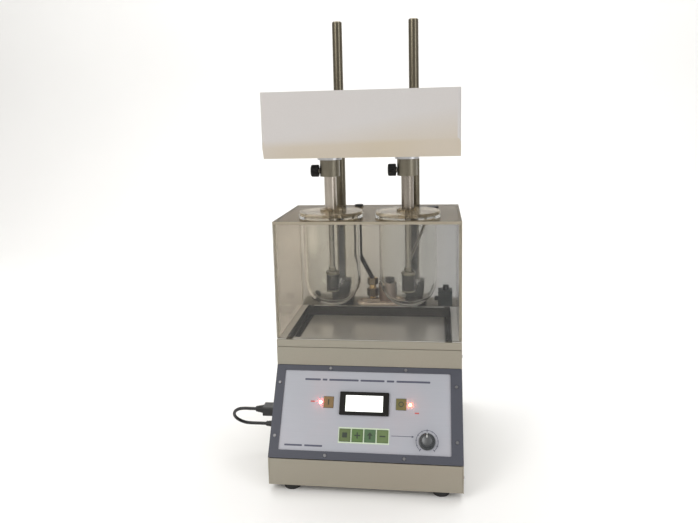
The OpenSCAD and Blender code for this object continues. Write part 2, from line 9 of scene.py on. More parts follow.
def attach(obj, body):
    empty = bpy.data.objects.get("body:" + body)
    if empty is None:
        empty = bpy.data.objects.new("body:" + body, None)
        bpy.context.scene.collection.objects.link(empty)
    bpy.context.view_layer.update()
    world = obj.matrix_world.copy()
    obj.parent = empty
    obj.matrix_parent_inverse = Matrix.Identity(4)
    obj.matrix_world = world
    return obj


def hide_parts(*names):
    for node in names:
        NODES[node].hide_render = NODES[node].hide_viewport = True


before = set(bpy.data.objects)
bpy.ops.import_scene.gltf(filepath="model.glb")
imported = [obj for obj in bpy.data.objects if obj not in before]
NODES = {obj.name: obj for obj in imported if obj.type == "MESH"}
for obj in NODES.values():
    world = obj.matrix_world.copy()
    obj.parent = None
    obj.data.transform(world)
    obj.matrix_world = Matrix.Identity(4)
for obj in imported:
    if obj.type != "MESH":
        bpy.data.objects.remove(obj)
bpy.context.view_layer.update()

scene = bpy.context.scene
scene.view_settings.view_transform = "Standard"
scene.view_settings.look = "None"
MM = 0.001

# ------------------------------------------------------------------ camera
YAW, PITCH, ROLL = 0.1347, 0.1493, -0.0237
CAM_POS = Vector((0.12456, -1.22769, 0.63252))
fwd = Vector((-math.sin(YAW) * math.cos(PITCH), math.cos(YAW) * math.cos(PITCH), -math.sin(PITCH)))
right = Vector((math.cos(YAW), math.sin(YAW), 0.0))
up = right.cross(fwd)
r2 = math.cos(ROLL) * right + math.sin(ROLL) * up
u2 = -math.sin(ROLL) * right + math.cos(ROLL) * up
cam_data = bpy.data.cameras.new("camera")
cam_data.sensor_width = 36.0
cam_data.sensor_fit = "HORIZONTAL"
cam_data.lens = 665.4058 * 36.0 / 698.0
cam_data.shift_y = -45.0 / 698.0
cam_data.clip_start = 0.05
cam = bpy.data.objects.new("camera", cam_data)
scene.collection.objects.link(cam)
cam.matrix_world = Matrix((
    (r2.x, u2.x, -fwd.x, CAM_POS.x),
    (r2.y, u2.y, -fwd.y, CAM_POS.y),
    (r2.z, u2.z, -fwd.z, CAM_POS.z),
    (0, 0, 0, 1)))
scene.camera = cam

# ------------------------------------------------------------------ panel frame
SL = math.hypot(93.0, 130.0)
UY, UZ = 93.0 / SL, 130.0 / SL
PANEL = Matrix(((1, 0, 0, 0), (0, UY, -UZ, -0.195), (0, UZ, UY, 0.061), (0, 0, 0, 1)))


# ------------------------------------------------------------------ material kit
class Graph:
    """One material and short calls for its nodes."""

    def __init__(self, name):
        self.m = bpy.data.materials.new(name)
        self.m.use_nodes = True
        self.t = self.m.node_tree
        self.t.nodes.clear()
        self.out = self.t.nodes.new("ShaderNodeOutputMaterial")
        self.b = self.t.nodes.new("ShaderNodeBsdfPrincipled")
        self.link(self.b.outputs[0], self.out.inputs[0])
        self._co = None

    def link(self, a, b):
        self.t.links.new(a, b)

    def co(self):
        if self._co is None:
            self._co = self.t.nodes.new("ShaderNodeTexCoord").outputs["Object"]
        return self._co

    def stretch(self, sx, sy, sz):
        n = self.t.nodes.new("ShaderNodeMapping")
        self.link(self.co(), n.inputs["Vector"])
        n.inputs["Scale"].default_value = (sx, sy, sz)
        return n.outputs[0]

    def noise(self, scale, detail=2.0, rough=0.5, vec=None):
        n = self.t.nodes.new("ShaderNodeTexNoise")
        self.link(vec if vec is not None else self.co(), n.inputs["Vector"])
        n.inputs["Scale"].default_value = scale
        n.inputs["Detail"].default_value = detail
        n.inputs["Roughness"].default_value = rough
        return n.outputs[0]

    def ramp(self, fac, stops, ease="LINEAR"):
        n = self.t.nodes.new("ShaderNodeValToRGB")
        n.color_ramp.interpolation = ease
        e = n.color_ramp.elements
        while len(e) < len(stops):
            e.new(0.5)
        for k, (p, c) in zip(e, stops):
            k.position = p
            k.color = c if len(c) == 4 else (*c, 1.0)
        self.link(fac, n.inputs[0])
        return n.outputs[0]

    def gray(self, fac, lo, hi, a=0.0, b=1.0):
        n = self.t.nodes.new("ShaderNodeMapRange")
        self.link(fac, n.inputs["Value"])
        n.inputs["From Min"].default_value = a
        n.inputs["From Max"].default_value = b
        n.inputs["To Min"].default_value = lo
        n.inputs["To Max"].default_value = hi
        return n.outputs[0]

    def mix(self, fac, a, b, mode="MIX"):
        n = self.t.nodes.new("ShaderNodeMix")
        n.data_type = "RGBA"
        n.blend_type = mode
        for sock, v in ((n.inputs[0], fac), (n.inputs[6], a), (n.inputs[7], b)):
            if isinstance(v, bpy.types.NodeSocket):
                self.link(v, sock)
            elif isinstance(v, (int, float)):
                sock.default_value = v
            else:
                sock.default_value = (*v[:3], 1.0)
        return n.outputs[2]

    def math(self, op, a, b=None, c=None, clamp=False):
        n = self.t.nodes.new("ShaderNodeMath")
        n.operation = op
        n.use_clamp = clamp
        for sock, v in zip(n.inputs, (a, b, c)):
            if v is None:
                continue
            if isinstance(v, bpy.types.NodeSocket):
                self.link(v, sock)
            else:
                sock.default_value = v
        return n.outputs[0]

    def dot(self, vec, d):
        n = self.t.nodes.new("ShaderNodeVectorMath")
        n.operation = "DOT_PRODUCT"
        self.link(vec, n.inputs[0])
        if isinstance(d, bpy.types.NodeSocket):
            self.link(d, n.inputs[1])
        else:
            n.inputs[1].default_value = d
        return n.outputs["Value"]

    def bump(self, height, strength=0.2, dist=0.0004, normal=None):
        n = self.t.nodes.new("ShaderNodeBump")
        n.inputs["Strength"].default_value = strength
        n.inputs["Distance"].default_value = dist
        self.link(height, n.inputs["Height"])
        if normal is not None:
            self.link(normal, n.inputs["Normal"])
        self.link(n.outputs[0], self.b.inputs["Normal"])
        return n.outputs[0]

    def normal(self):
        return self.t.nodes.new("ShaderNodeNewGeometry").outputs["Normal"]

    def edges(self, radius=0.0012, lo=0.02, hi=0.18):
        """1 along sharp edges, 0 on flat faces."""
        n = self.t.nodes.new("ShaderNodeBevel")
        n.samples = 4
        n.inputs["Radius"].default_value = radius
        d = self.dot(n.outputs[0], self.normal())
        return self.gray(self.math("SUBTRACT", 1.0, d), 0.0, 1.0, lo, hi)

    def set(self, **k):
        for name, v in k.items():
            sock = self.b.inputs[name.replace("_", " ")]
            if isinstance(v, bpy.types.NodeSocket):
                self.link(v, sock)
            elif isinstance(v, (int, float)):
                sock.default_value = v
            else:
                sock.default_value = (*v[:3], 1.0)
        return self


def lin(r, g, b):
    """sRGB 0-255 to linear."""
    return tuple((v / 255 / 12.92) if v <= 10 else ((v / 255 + 0.055) / 1.055) ** 2.4 for v in (r, g, b))


def scaled(c, k):
    return tuple(min(1.0, v * k) for v in c)


def paint(name, rgb, rough=0.46, var=0.06, speck=0.05, grain=0.12, wear=0.35, wear_rgb=None, drift=None, low_shade=None):
    g = Graph(name)
    big = g.noise(6.0, 3.0, 0.55)
    fine = g.noise(780.0, 2.0, 0.5)
    c = g.mix(big, scaled(rgb, 1 - var), scaled(rgb, 1 + var))
    # painted shade: faces turned down and forward (the head's lower chamfer) take a darker, warmer tone
    if low_shade is not None:
        n = g.normal()
        downward_shade_mask = g.math("MULTIPLY", g.gray(g.dot(n, (0, 0, -1)), 0.0, 1.0, 0.06, 0.2), g.gray(g.dot(n, (0, -1, 0)), 0.0, 1.0, 0.3, 0.6))
        c = g.mix(downward_shade_mask, c, low_shade)
    if drift is not None:
        c = g.mix(g.gray(g.noise(3.1, 1.0), 0.0, 0.7, 0.35, 0.65), c, drift)
    c = g.mix(speck, c, g.ramp(fine, [(0.3, (0.25,) * 3), (0.7, (0.8,) * 3)]), "OVERLAY")
    e = g.math("MULTIPLY", g.edges(), g.gray(g.noise(55.0, 3.0), 0.0, wear, 0.35, 0.75), clamp=True)
    c = g.mix(e, c, wear_rgb or scaled(rgb, 1.35))
    g.set(Base_Color=c, Roughness=g.gray(big, rough - 0.06, rough + 0.06), Specular_IOR_Level=0.45)
    g.bump(fine, grain, 0.0003)
    return g.m


def metal(name, rgb, rough, stretch, streak=0.10, bump=0.05, dark=None, mottle=0.35, foot=None):
    g = Graph(name)
    v = g.stretch(*stretch)
    line = g.noise(1.0, 4.0, 0.6, v)
    blotch = g.noise(26.0, 3.0, 0.6)
    c = g.mix(line, scaled(rgb, 1 - streak), scaled(rgb, 1 + streak))
    c = g.mix(g.gray(blotch, 0.0, mottle, 0.4, 0.75), c, dark or scaled(rgb, 0.72))
    # painted light: below z 0.40-0.47 m the colour is painted lighter, where the pillars stand behind the bath
    if foot is not None:
        c = g.mix(g.gray(g.dot(g.co(), (0, 0, 1)), 1.0, 0.0, 0.40, 0.47), c, g.mix(line, scaled(foot, 1 - streak), scaled(foot, 1 + streak)))
    r = g.math("ADD", g.gray(line, -0.05, 0.05), g.gray(blotch, rough - 0.04, rough + 0.06))
    g.set(Base_Color=c, Metallic=1.0, Roughness=r)
    g.bump(line, bump, 0.0002)
    return g.m


def plastic(name, rgb, rough=0.45, grain=0.16, scale=1300.0, var=0.08, wear=0.25, spec=0.5):
    g = Graph(name)
    fine = g.noise(scale, 2.0, 0.55)
    big = g.noise(18.0, 3.0, 0.6)
    c = g.mix(big, scaled(rgb, 1 - var), scaled(rgb, 1 + var))
    c = g.mix(g.math("MULTIPLY", g.edges(0.0009), wear), c, tuple(min(1.0, v * 1.6 + 0.03) for v in rgb))
    g.set(Base_Color=c, Roughness=g.gray(big, rough - 0.05, rough + 0.07), Specular_IOR_Level=spec)
    g.bump(fine, grain, 0.0002)
    return g.m


def clear(name, rgb, trans, rough, ior=1.49, smudge=0.05, right_side_cast=None, bottom_shade=None):
    g = Graph(name)
    big = g.noise(9.0, 4.0, 0.6)
    fine = g.noise(160.0, 3.0, 0.6)
    c = g.mix(big, scaled(rgb, 0.95), scaled(rgb, 1.05))
    # painted light: the colour shifts toward a cooler cast on the right-hand side
    if right_side_cast is not None:
        c = g.mix(g.gray(g.dot(g.co(), (1, 0, 0)), 0.0, 1.0, -0.05, 0.15), c, right_side_cast)
    # painted shade: the rear pane darkens toward the bottom, less so at its right end
    if bottom_shade is not None:
        low_shade = g.gray(g.dot(g.co(), (1, 0, 0)), bottom_shade, 0.96, 0.06, 0.14)
        z = g.gray(g.dot(g.co(), (0, 0, 1)), 1.0, 0.0, 0.255, 0.41)
        c = g.mix(z, c, g.mix(1.0, c, low_shade, "MULTIPLY"))
        # painted highlight: a brighter patch in the upper left corner
        px = g.math("POWER", g.gray(g.math("ABSOLUTE", g.math("ADD", g.dot(g.co(), (1, 0, 0)), 0.143)), 0.0, 1.0, 0.0, 0.028), 2.0)
        pz = g.math("POWER", g.gray(g.math("ABSOLUTE", g.math("SUBTRACT", g.dot(g.co(), (0, 0, 1)), 0.385)), 0.0, 1.0, 0.0, 0.055), 2.0)
        highlight_patch = g.math("POWER", g.math("SUBTRACT", 1.0, g.math("ADD", px, pz), clamp=True), 2.0)
        c = g.mix(highlight_patch, c, scaled(rgb, 1.42))
    r = g.math("ADD", g.gray(big, rough, rough + smudge, 0.35, 0.7), g.gray(fine, 0.0, smudge * 0.5, 0.5, 0.8))
    g.set(Base_Color=c, Roughness=r, Transmission_Weight=trans, IOR=ior)
    return g.m


CAB = lin(147, 143, 130)
M = {}
M["cabinet"] = paint("cabinet_paint", CAB, 0.48, drift=lin(147, 138, 124))
M["cabinet_dark"] = paint("cabinet_shade_paint", lin(140, 134, 120), 0.48, drift=lin(134, 126, 114))
M["bezel"] = paint("slate_paint", lin(67, 69, 79), 0.54, var=0.10, wear=0.4, wear_rgb=lin(120, 121, 130))
# head paint, with painted shade in a darker, warmer tone on its lower chamfer
M["head"] = paint("head_paint", lin(190, 188, 187), 0.42, var=0.03, speck=0.03, wear=0.25, wear_rgb=lin(214, 210, 204), drift=lin(189, 184, 182),
                  low_shade=lin(181, 168, 144))
M["supply"] = paint("supply_paint", lin(120, 120, 125), 0.5)
M["motor"] = paint("motor_paint", lin(70, 72, 78), 0.5)
M["black"] = plastic("black_plastic", lin(27, 26, 25), 0.50, spec=0.35)
M["black_gloss"] = plastic("black_moulding", lin(26, 26, 27), 0.32, grain=0.06)
M["display_frame"] = plastic("display_frame_plastic", lin(20, 19, 17), 0.52, grain=0.10, spec=0.2)
M["rubber"] = plastic("foot_rubber", lin(34, 33, 33), 0.72, grain=0.35, scale=900.0)
M["cord"] = plastic("cord_jacket", lin(26, 26, 28), 0.42, grain=0.12, scale=700.0)
M["knob"] = plastic("knob_plastic", lin(57, 60, 62), 0.40)
M["pump"] = plastic("pump_plastic", lin(50, 60, 64), 0.46, spec=0.35)
M["board"] = plastic("board_lacquer", lin(30, 95, 55), 0.35)
# pillar steel, painted lighter on its lower part as painted light
M["steel"] = metal("ground_steel", (0.150, 0.133, 0.098), 0.27, (420, 420, 5), 0.10, 0.004, dark=(0.11, 0.09, 0.065), mottle=0.10, foot=(0.32, 0.29, 0.235))
M["chuck"] = metal("chuck_steel", (0.22, 0.20, 0.155), 0.34, (60, 60, 400), 0.10, 0.006, dark=(0.12, 0.10, 0.07), mottle=0.12)
M["spindle"] = metal("spindle_steel", (0.50, 0.45, 0.39), 0.23, (420, 420, 5), 0.08, 0.004, dark=(0.32, 0.26, 0.21), mottle=0.12)
# painted shade: a darker copy of the spindle steel, for the right spindle
M["spindle_shaded"] = metal("spindle_steel_shaded", (0.33, 0.295, 0.255), 0.26, (420, 420, 5), 0.08, 0.004, dark=(0.20, 0.17, 0.14), mottle=0.12)
M["shaft"] = metal("shaft_steel", (0.27, 0.25, 0.215), 0.28, (420, 420, 6), 0.10, 0.004, mottle=0.15)
M["tube"] = metal("heater_tube", (0.74, 0.64, 0.55), 0.24, (200, 200, 200), 0.14, 0.02, dark=(0.30, 0.20, 0.14), mottle=0.5)
M["can"] = metal("terminal_can", (0.46, 0.37, 0.32), 0.32, (60, 60, 500), 0.12, 0.01, dark=(0.24, 0.17, 0.14), mottle=0.5)
M["screw"] = metal("screw_steel", (0.24, 0.24, 0.25), 0.40, (700, 700, 700), 0.12, 0.06)
M["alu"] = metal("machined_aluminium", (0.60, 0.60, 0.61), 0.34, (80, 900, 80), 0.08, 0.05)
M["brass"] = metal("brass", (0.66, 0.47, 0.22), 0.26, (120, 300, 120), 0.16, 0.06, dark=(0.30, 0.17, 0.08))
M["flange"] = metal("heater_flange", (0.20, 0.16, 0.11), 0.36, (150, 150, 150), 0.18, 0.02)
M["bronze"] = metal("bronze", (0.50, 0.34, 0.18), 0.36, (90, 90, 700), 0.12, 0.05)
M["basket"] = metal("basket_wire", (0.060, 0.056, 0.050), 0.48, (200, 200, 200), 0.16, 0.05)
M["pane"] = clear("front_acrylic", (0.95, 0.94, 0.91), 0.997, 0.015, 1.33, 0.03)
# side and rear panes: a painted cool light cast toward the right; the rear pane also gets painted shade toward the
# bottom and a painted highlight
M["pane_side"] = clear("side_acrylic", (0.54, 0.48, 0.40), 0.90, 0.10, 1.36, right_side_cast=(0.50, 0.49, 0.47))
M["pane_rear"] = clear("rear_acrylic", (0.365, 0.333, 0.28), 0.975, 0.06, 1.30, right_side_cast=(0.305, 0.307, 0.312), bottom_shade=0.68)
M["cover"] = clear("cover_acrylic", (0.38, 0.328, 0.245), 0.88, 0.10, 1.04)
M["glass"] = clear("vessel_glass", (0.96, 0.97, 0.95), 0.998, 0.02, 1.26, 0.02)
M["lid"] = clear("lid_acrylic", (0.64, 0.565, 0.445), 0.88, 0.10, 1.07)


def edge_material(name, rgb, trans):
    """Sawn and bonded acrylic edge: milky, catching the light."""
    g = Graph(name)
    saw = g.noise(1.0, 3.0, 0.6, g.stretch(900, 900, 60))
    big = g.noise(24.0, 3.0, 0.6)
    c = g.mix(big, scaled(rgb, 0.85), scaled(rgb, 1.1))
    c = g.mix(g.gray(saw, 0.0, 0.25, 0.4, 0.7), c, scaled(rgb, 0.7))
    g.set(Base_Color=c, Roughness=g.gray(big, 0.30, 0.45), Transmission_Weight=trans, IOR=1.30, Specular_IOR_Level=0.3)
    g.bump(saw, 0.05, 0.0002)
    return g.m


M["edge"] = edge_material("acrylic_edge", (0.62, 0.56, 0.45), 0.35)
M["edge_top"] = edge_material("cover_edge", (0.45, 0.40, 0.315), 0.30)


def basin_material():
    g = Graph("basin_steel")
    line = g.noise(1.0, 2.0, 0.5, g.stretch(14, 150, 14))
    big = g.noise(11.0, 4.0, 0.6)
    floor_c = g.mix(line, (0.93, 0.92, 0.89), (0.97, 0.96, 0.93))
    floor_c = g.mix(g.gray(big, 0.0, 0.22, 0.45, 0.75), floor_c, (0.68, 0.66, 0.62))
    side = g.math("ABSOLUTE", g.dot(g.co(), (1, 0, 0)))
    # painted shade: a near-black strip on the floor along the left and right walls
    floor_c = g.mix(g.math("MULTIPLY", g.gray(side, 0.0, 1.0, 0.134, 0.138), g.gray(side, 1.0, 0.0, 0.1475, 0.1486)), floor_c, (0.035, 0.033, 0.031))
    # painted shade and painted dark reflection: inner walls facing sideways are painted near-black
    upward = g.dot(g.normal(), (0, 0, 1))
    wall = g.gray(upward, 1.0, 0.0, 0.35, 0.75)
    y = g.dot(g.co(), (0, 1, 0))
    inside = g.math("MULTIPLY", g.math("LESS_THAN", side, 0.155), g.math("LESS_THAN", g.math("ABSOLUTE", g.math("SUBTRACT", y, 0.011)), 0.105))
    wall = g.math("MULTIPLY", wall, inside)
    wall_shade_rgb = g.mix(big, (0.030, 0.028, 0.026), (0.07, 0.065, 0.06))
    g.set(Base_Color=g.mix(wall, floor_c, wall_shade_rgb), Metallic=0.36, Roughness=g.math("ADD", g.gray(line, 0.0, 0.02), g.gray(big, 0.14, 0.22)))
    g.bump(line, 0.004, 0.0001)
    return g.m


def panel_axes(g):
    """Distances along the sloped panel, in metres: x across and s up the slope."""
    x = g.dot(g.co(), (1, 0, 0))
    s = g.math("ADD", g.dot(g.co(), (0, UY, UZ)), 0.195 * UY - 0.061 * UZ)
    return x, s


def label_material():
    g = Graph("panel_label")
    x, s = panel_axes(g)
    big = g.noise(9.0, 3.0, 0.6)
    fine = g.noise(1500.0, 2.0, 0.5)
    c = g.mix(big, lin(160, 164, 172), lin(170, 170, 178))
    c = g.mix(g.gray(g.noise(16.0, 2.0), 0.0, 0.45, 0.45, 0.7), c, lin(172, 166, 172))
    line = g.noise(1.0, 3.0, 0.5, g.stretch(18, 1600, 1600))
    c = g.mix(0.06, c, g.ramp(line, [(0.3, (0.3,) * 3), (0.7, (0.75,) * 3)]), "OVERLAY")
    g.set(Base_Color=c, Roughness=g.gray(big, 0.34, 0.46), Specular_IOR_Level=0.4)
    g.bump(fine, 0.08, 0.0002)
    return g.m


def display_material():
    g = Graph("lit_display")
    x, s = panel_axes(g)
    cw, ch = 0.0648 / 16, 0.0272 / 2
    fx = g.math("FRACT", g.math("DIVIDE", g.math("ADD", x, 0.0366), cw))
    fs = g.math("FRACT", g.math("DIVIDE", g.math("SUBTRACT", s, 0.0811), ch))
    inx = g.math("LESS_THAN", g.math("ABSOLUTE", g.math("SUBTRACT", fx, 0.5)), 0.40)
    ins = g.math("LESS_THAN", g.math("ABSOLUTE", g.math("SUBTRACT", fs, 0.5)), 0.36)
    cell = g.math("MULTIPLY", inx, ins)
    dx = g.math("ABSOLUTE", g.math("ADD", x, 0.004))
    c = g.mix(g.gray(dx, 0.0, 1.0, 0.012, 0.034), (1.0, 1.0, 0.985), (0.94, 0.975, 0.91))
    c = g.mix(g.math("MULTIPLY", cell, 0.10), c, (0.72, 0.80, 0.66))
    g.set(Base_Color=(0.75, 0.78, 0.72), Roughness=0.12, Emission_Color=c, Emission_Strength=1.15, Coat_Weight=0.5, Coat_Roughness=0.05)
    return g.m


def lamp_material(name, rgb, power):
    g = Graph(name)
    n = g.noise(600.0, 2.0)
    c = g.mix(n, scaled(rgb, 0.9), scaled(rgb, 1.0))
    g.set(Base_Color=c, Roughness=0.12, Emission_Color=c, Emission_Strength=power)
    return g.m


def key_material(name, rgb, rgb2):
    g = Graph(name)
    big = g.noise(120.0, 3.0, 0.6)
    fine = g.noise(1700.0, 2.0, 0.5)
    c = g.mix(big, rgb, rgb2)
    e = g.edges(0.0016, 0.01, 0.20)
    c = g.mix(g.math("MULTIPLY", e, 0.55), c, scaled(rgb, 1.7))
    g.set(Base_Color=c, Roughness=g.gray(big, 0.42, 0.56), Specular_IOR_Level=0.4)
    g.bump(fine, 0.12, 0.0002)
    return g.m


def print_material(name, rgb, rough=0.5):
    g = Graph(name)
    n = g.noise(900.0, 3.0, 0.6)
    g.set(Base_Color=g.mix(g.gray(n, 0.0, 0.4, 0.4, 0.8), rgb, scaled(rgb, 1.6)), Roughness=rough)
    g.bump(n, 0.05, 0.0001)
    return g.m


M["basin"] = basin_material()
M["label"] = label_material()
M["display"] = display_material()
M["lamp_red"] = lamp_material("lamp_red", (1.0, 0.10, 0.08), 75.0)
M["lamp_amber"] = lamp_material("lamp_amber", (1.0, 0.17, 0.04), 55.0)
M["lamp_body"] = plastic("lamp_holder", lin(120, 40, 34), 0.35)
M["key_1"] = key_material("key_green_a", lin(84, 100, 60), lin(96, 110, 70))
M["key_2"] = key_material("key_green_b", lin(78, 106, 56), lin(90, 116, 68))
M["key_3"] = key_material("key_green_c", lin(70, 100, 68), lin(82, 108, 76))
M["key_4"] = key_material("key_green_d", lin(92, 112, 68), lin(102, 120, 78))
M["key_left"] = key_material("key_olive_a", lin(116, 96, 60), lin(128, 102, 66))
M["key_right"] = key_material("key_olive_b", lin(96, 100, 56), lin(116, 98, 58))
M["ink"] = print_material("printed_ink", lin(74, 76, 92))
M["ink_dark"] = print_material("printed_dark", lin(40, 50, 38))
M["ink_green"] = print_material("printed_green", lin(190, 204, 180))
M["ink_red"] = print_material("printed_red", lin(178, 84, 80))
M["ink_white"] = print_material("printed_white", lin(225, 226, 224))
M["cap"] = metal("knob_cap_metal", (0.14, 0.145, 0.15), 0.42, (900, 60, 900), 0.10, 0.06)

NODE_MATERIAL = {
    "base_pan": "cabinet_dark", "side_panels": "cabinet", "front_skirt": "cabinet", "front_apron": "cabinet",
    "rear_panel": "cabinet", "deck_cap": "cabinet", "panel_bezel": "bezel", "control_panel": "label",
    "display_bezel": "display_frame", "display_glass": "display", "control_board": "board", "panel_screws": "screw",
    "rubber_feet": "rubber", "power_supply": "supply", "mains_inlet": "black_gloss", "side_socket": "black",
    "lead_plug": "black_gloss", "lead_gland": "black_gloss", "pillars": "steel", "pillar_blocks": "black",
    "pillar_nuts": "screw", "bath_basin": "basin", "side_panes": "pane_side", "bath_cover": "cover",
    "heater": "brass", "heater_conduit": "black", "temperature_probe": "shaft", "circulation_pump": "pump",
    "power_switch": "black_gloss", "vessel_left": "glass", "vessel_right": "glass", "lid_left": "lid", "lid_right": "lid",
    "head_cover": "head", "head_base": "alu", "drive_motor": "motor", "drive_belt": "rubber", "bearing_housings": "alu",
    "spindle_bushes": "bronze", "guide_bushes": "alu", "motor_pulley": "alu", "spindle_left": "spindle",
    "spindle_right": "spindle_shaded", "shaft_left": "shaft", "shaft_right": "shaft", "lead": "cord",
    "key_1": "key_1", "key_2": "key_2", "key_3": "key_3", "key_4": "key_4", "key_left": "key_left", "key_right": "key_right",
    "speed_knob": "knob", "thumbscrew_left": "black", "thumbscrew_right": "black", "head_lock_knob": "black",
    "basket_left": "basket", "basket_right": "basket",
}
for name, key in NODE_MATERIAL.items():
    o = NODES[name]
    o.data.materials.clear()
    o.data.materials.append(M[key])


def faces_by(node, mats, pick):
    """Gives each face of a CAD node one of the materials, by its centre and normal."""
    me = NODES[node].data
    me.materials.clear()
    for k in mats:
        me.materials.append(M[k])
    for p in me.polygons:
        p.material_index = pick(p.center, p.normal)


def out_of_panel(c):
    """Height of a point above the sloped panel, in metres."""
    return (c.z - 0.061) * UY - (c.y + 0.195) * UZ


def heater_part(c, n):
    can = math.hypot(c.x - 0.021, c.y - 0.097)
    post = math.hypot(c.x + 0.009, c.y - 0.100)
    if c.y > 0.1115:
        return 3
    if post < 0.0125 and c.z > 0.2665:
        return 3 if post > 0.0078 else 2
    if post < 0.0072 and (c.z > 0.2636 or c.z < 0.2544):
        return 2
    if can < 0.0131 and c.z > 0.2957:
        return 4
    return 1 if can < 0.0175 and c.z > 0.2535 else 0


lit_top = max(out_of_panel(p.center) for p in NODES["display_glass"].data.polygons)
faces_by("wide_panes", ["pane", "pane_rear", "edge"], lambda c, n: 2 if abs(n.y) < 0.5 else 1 if c.y > 0 else 0)
faces_by("bath_cover", ["cover", "edge_top"], lambda c, n: 1 if abs(n.z) < 0.5 else 0)
faces_by("display_glass", ["display", "display_frame"], lambda c, n: 0 if out_of_panel(c) > lit_top - 0.0003 else 1)
faces_by("indicator_lamps", ["lamp_red", "lamp_amber", "lamp_body"], lambda c, n: 2 if out_of_panel(c) < -0.0019 else 1 if c.x > 0 else 0)
faces_by("temperature_probe", ["shaft", "black"], lambda c, n: 1 if c.z > 0.4525 else 0)
faces_by("heater", ["tube", "can", "brass", "flange", "black"], heater_part)
# the right spindle takes the painted-shade copy of the steel
for side, x, tone in (("spindle_left", -0.070, "spindle"), ("spindle_right", 0.070, "spindle_shaded")):
    faces_by(side, [tone, "chuck"], lambda c, n, x=x: 1 if 0.5255 < c.z < 0.556 and math.hypot(c.x - x, c.y + 0.035) > 0.0112 else 0)
faces_by("mains_inlet", ["black_gloss", "screw"], lambda c, n: 1 if 0.0776 < c.y - 0.1 < 0.0901 and abs(c.x - 0.095) < 0.0085 and abs(c.z - 0.066) < 0.0045 else 0)


def soften(node, width, angle=38.0, segments=2):
    """Rounds a CAD node's sharp edges for the eye: weld, then a small bevel."""
    o = NODES[node]
    w = o.modifiers.new("weld", "WELD")
    w.merge_threshold = 0.00002
    b = o.modifiers.new("bevel", "BEVEL")
    b.width = width
    b.segments = segments
    b.limit_method = "ANGLE"
    b.angle_limit = math.radians(angle)
    b.use_clamp_overlap = True
    n = o.modifiers.new("normals", "WEIGHTED_NORMAL")
    n.mode = "FACE_AREA"
    n.weight = 100
    n.keep_sharp = False


for name, width in (("front_skirt", 0.0008), ("front_apron", 0.0006), ("display_bezel", 0.0005),
                    ("key_1", 0.0010), ("key_2", 0.0010), ("key_3", 0.0010), ("key_4", 0.0010), ("key_left", 0.0010),
                    ("key_right", 0.0010), ("pillar_blocks", 0.0012), ("lead_plug", 0.0008), ("side_socket", 0.0005),
                    ("circulation_pump", 0.0010), ("head_cover", 0.0014), ("deck_cap", 0.0006), ("rubber_feet", 0.0012),
                    ("mains_inlet", 0.0005)):
    soften(name, width)

for name in ("indicator_lamps", "temperature_probe", "vessel_left", "vessel_right"):
    w = NODES[name].modifiers.new("weld", "WELD")
    w.merge_threshold = 0.00001
    w = NODES[name].modifiers.new("creases", "EDGE_SPLIT")
    w.use_edge_sharp = False
    w.split_angle = math.radians(28)

for o in NODES.values():
    me = o.data
    for p in me.polygons:
        p.use_smooth = True
    me.set_sharp_from_angle(angle=math.radians(28))


# ------------------------------------------------------------------ mesh kit
def add(name, bm, mat, body, matrix=None, sharp=32.0):
    me = bpy.data.meshes.new(name)
    bmesh.ops.recalc_face_normals(bm, faces=bm.faces)
    bm.to_mesh(me)
    bm.free()
    if matrix is not None:
        me.transform(matrix)
    for p in me.polygons:
        p.use_smooth = True
    me.set_sharp_from_angle(angle=math.radians(sharp))
    o = bpy.data.objects.new(name, me)
    scene.collection.objects.link(o)
    for k in ([mat] if isinstance(mat, str) else mat):
        me.materials.append(M[k])
    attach(o, body)
    return o


def lathe_into(bm, profile, seg=64, radius=None, closed=True, mat=0):
    """Revolves (r, z) points, in mm, about Z. radius(r, z, angle) may shape the outline."""
    rings = []
    for r, z in profile:
        if r <= 1e-6:
            rings.append([bm.verts.new((0, 0, z * MM))])
            continue
        ring = []
        for i in range(seg):
            a = 2 * math.pi * i / seg
            rr = radius(r, z, a) if radius else r
            ring.append(bm.verts.new((rr * math.cos(a) * MM, rr * math.sin(a) * MM, z * MM)))
        rings.append(ring)
    pairs = list(zip(rings, rings[1:])) + ([(rings[-1], rings[0])] if closed else [])
    for a, b in pairs:
        if len(a) == 1 and len(b) == 1:
            continue
        for i in range(seg):
            j = (i + 1) % seg
            if len(a) == 1:
                f = bm.faces.new((a[0], b[j], b[i]))
            elif len(b) == 1:
                f = bm.faces.new((a[i], a[j], b[0]))
            else:
                f = bm.faces.new((a[i], a[j], b[j], b[i]))
            f.material_index = mat
    return rings


def prism_into(bm, outline, h0, h1, mat=0, taper=0.0):
    """A flat outline of (x, s) points in mm, from height h0 to h1; the top may be a little smaller."""
    cx = sum(p[0] for p in outline) / len(outline)
    cy = sum(p[1] for p in outline) / len(outline)
    lo = [bm.verts.new((x * MM, y * MM, h0 * MM)) for x, y in outline]
    hi = [bm.verts.new(((x + (cx - x) * taper) * MM, (y + (cy - y) * taper) * MM, h1 * MM)) for x, y in outline]
    bm.faces.new(lo[::-1]).material_index = mat
    bm.faces.new(hi).material_index = mat
    n = len(outline)
    for i in range(n):
        j = (i + 1) % n
        bm.faces.new((lo[i], lo[j], hi[j], hi[i])).material_index = mat


def rounded(x0, y0, x1, y1, r, n=5):
    pts = []
    for cx, cy, a0 in ((x1 - r, y0 + r, -90), (x1 - r, y1 - r, 0), (x0 + r, y1 - r, 90), (x0 + r, y0 + r, 180)):
        for k in range(n + 1):
            a = math.radians(a0 + 90 * k / n)
            pts.append((cx + r * math.cos(a), cy + r * math.sin(a)))
    return pts


def move(x, y, z):
    return Matrix.Translation((x * MM, y * MM, z * MM))


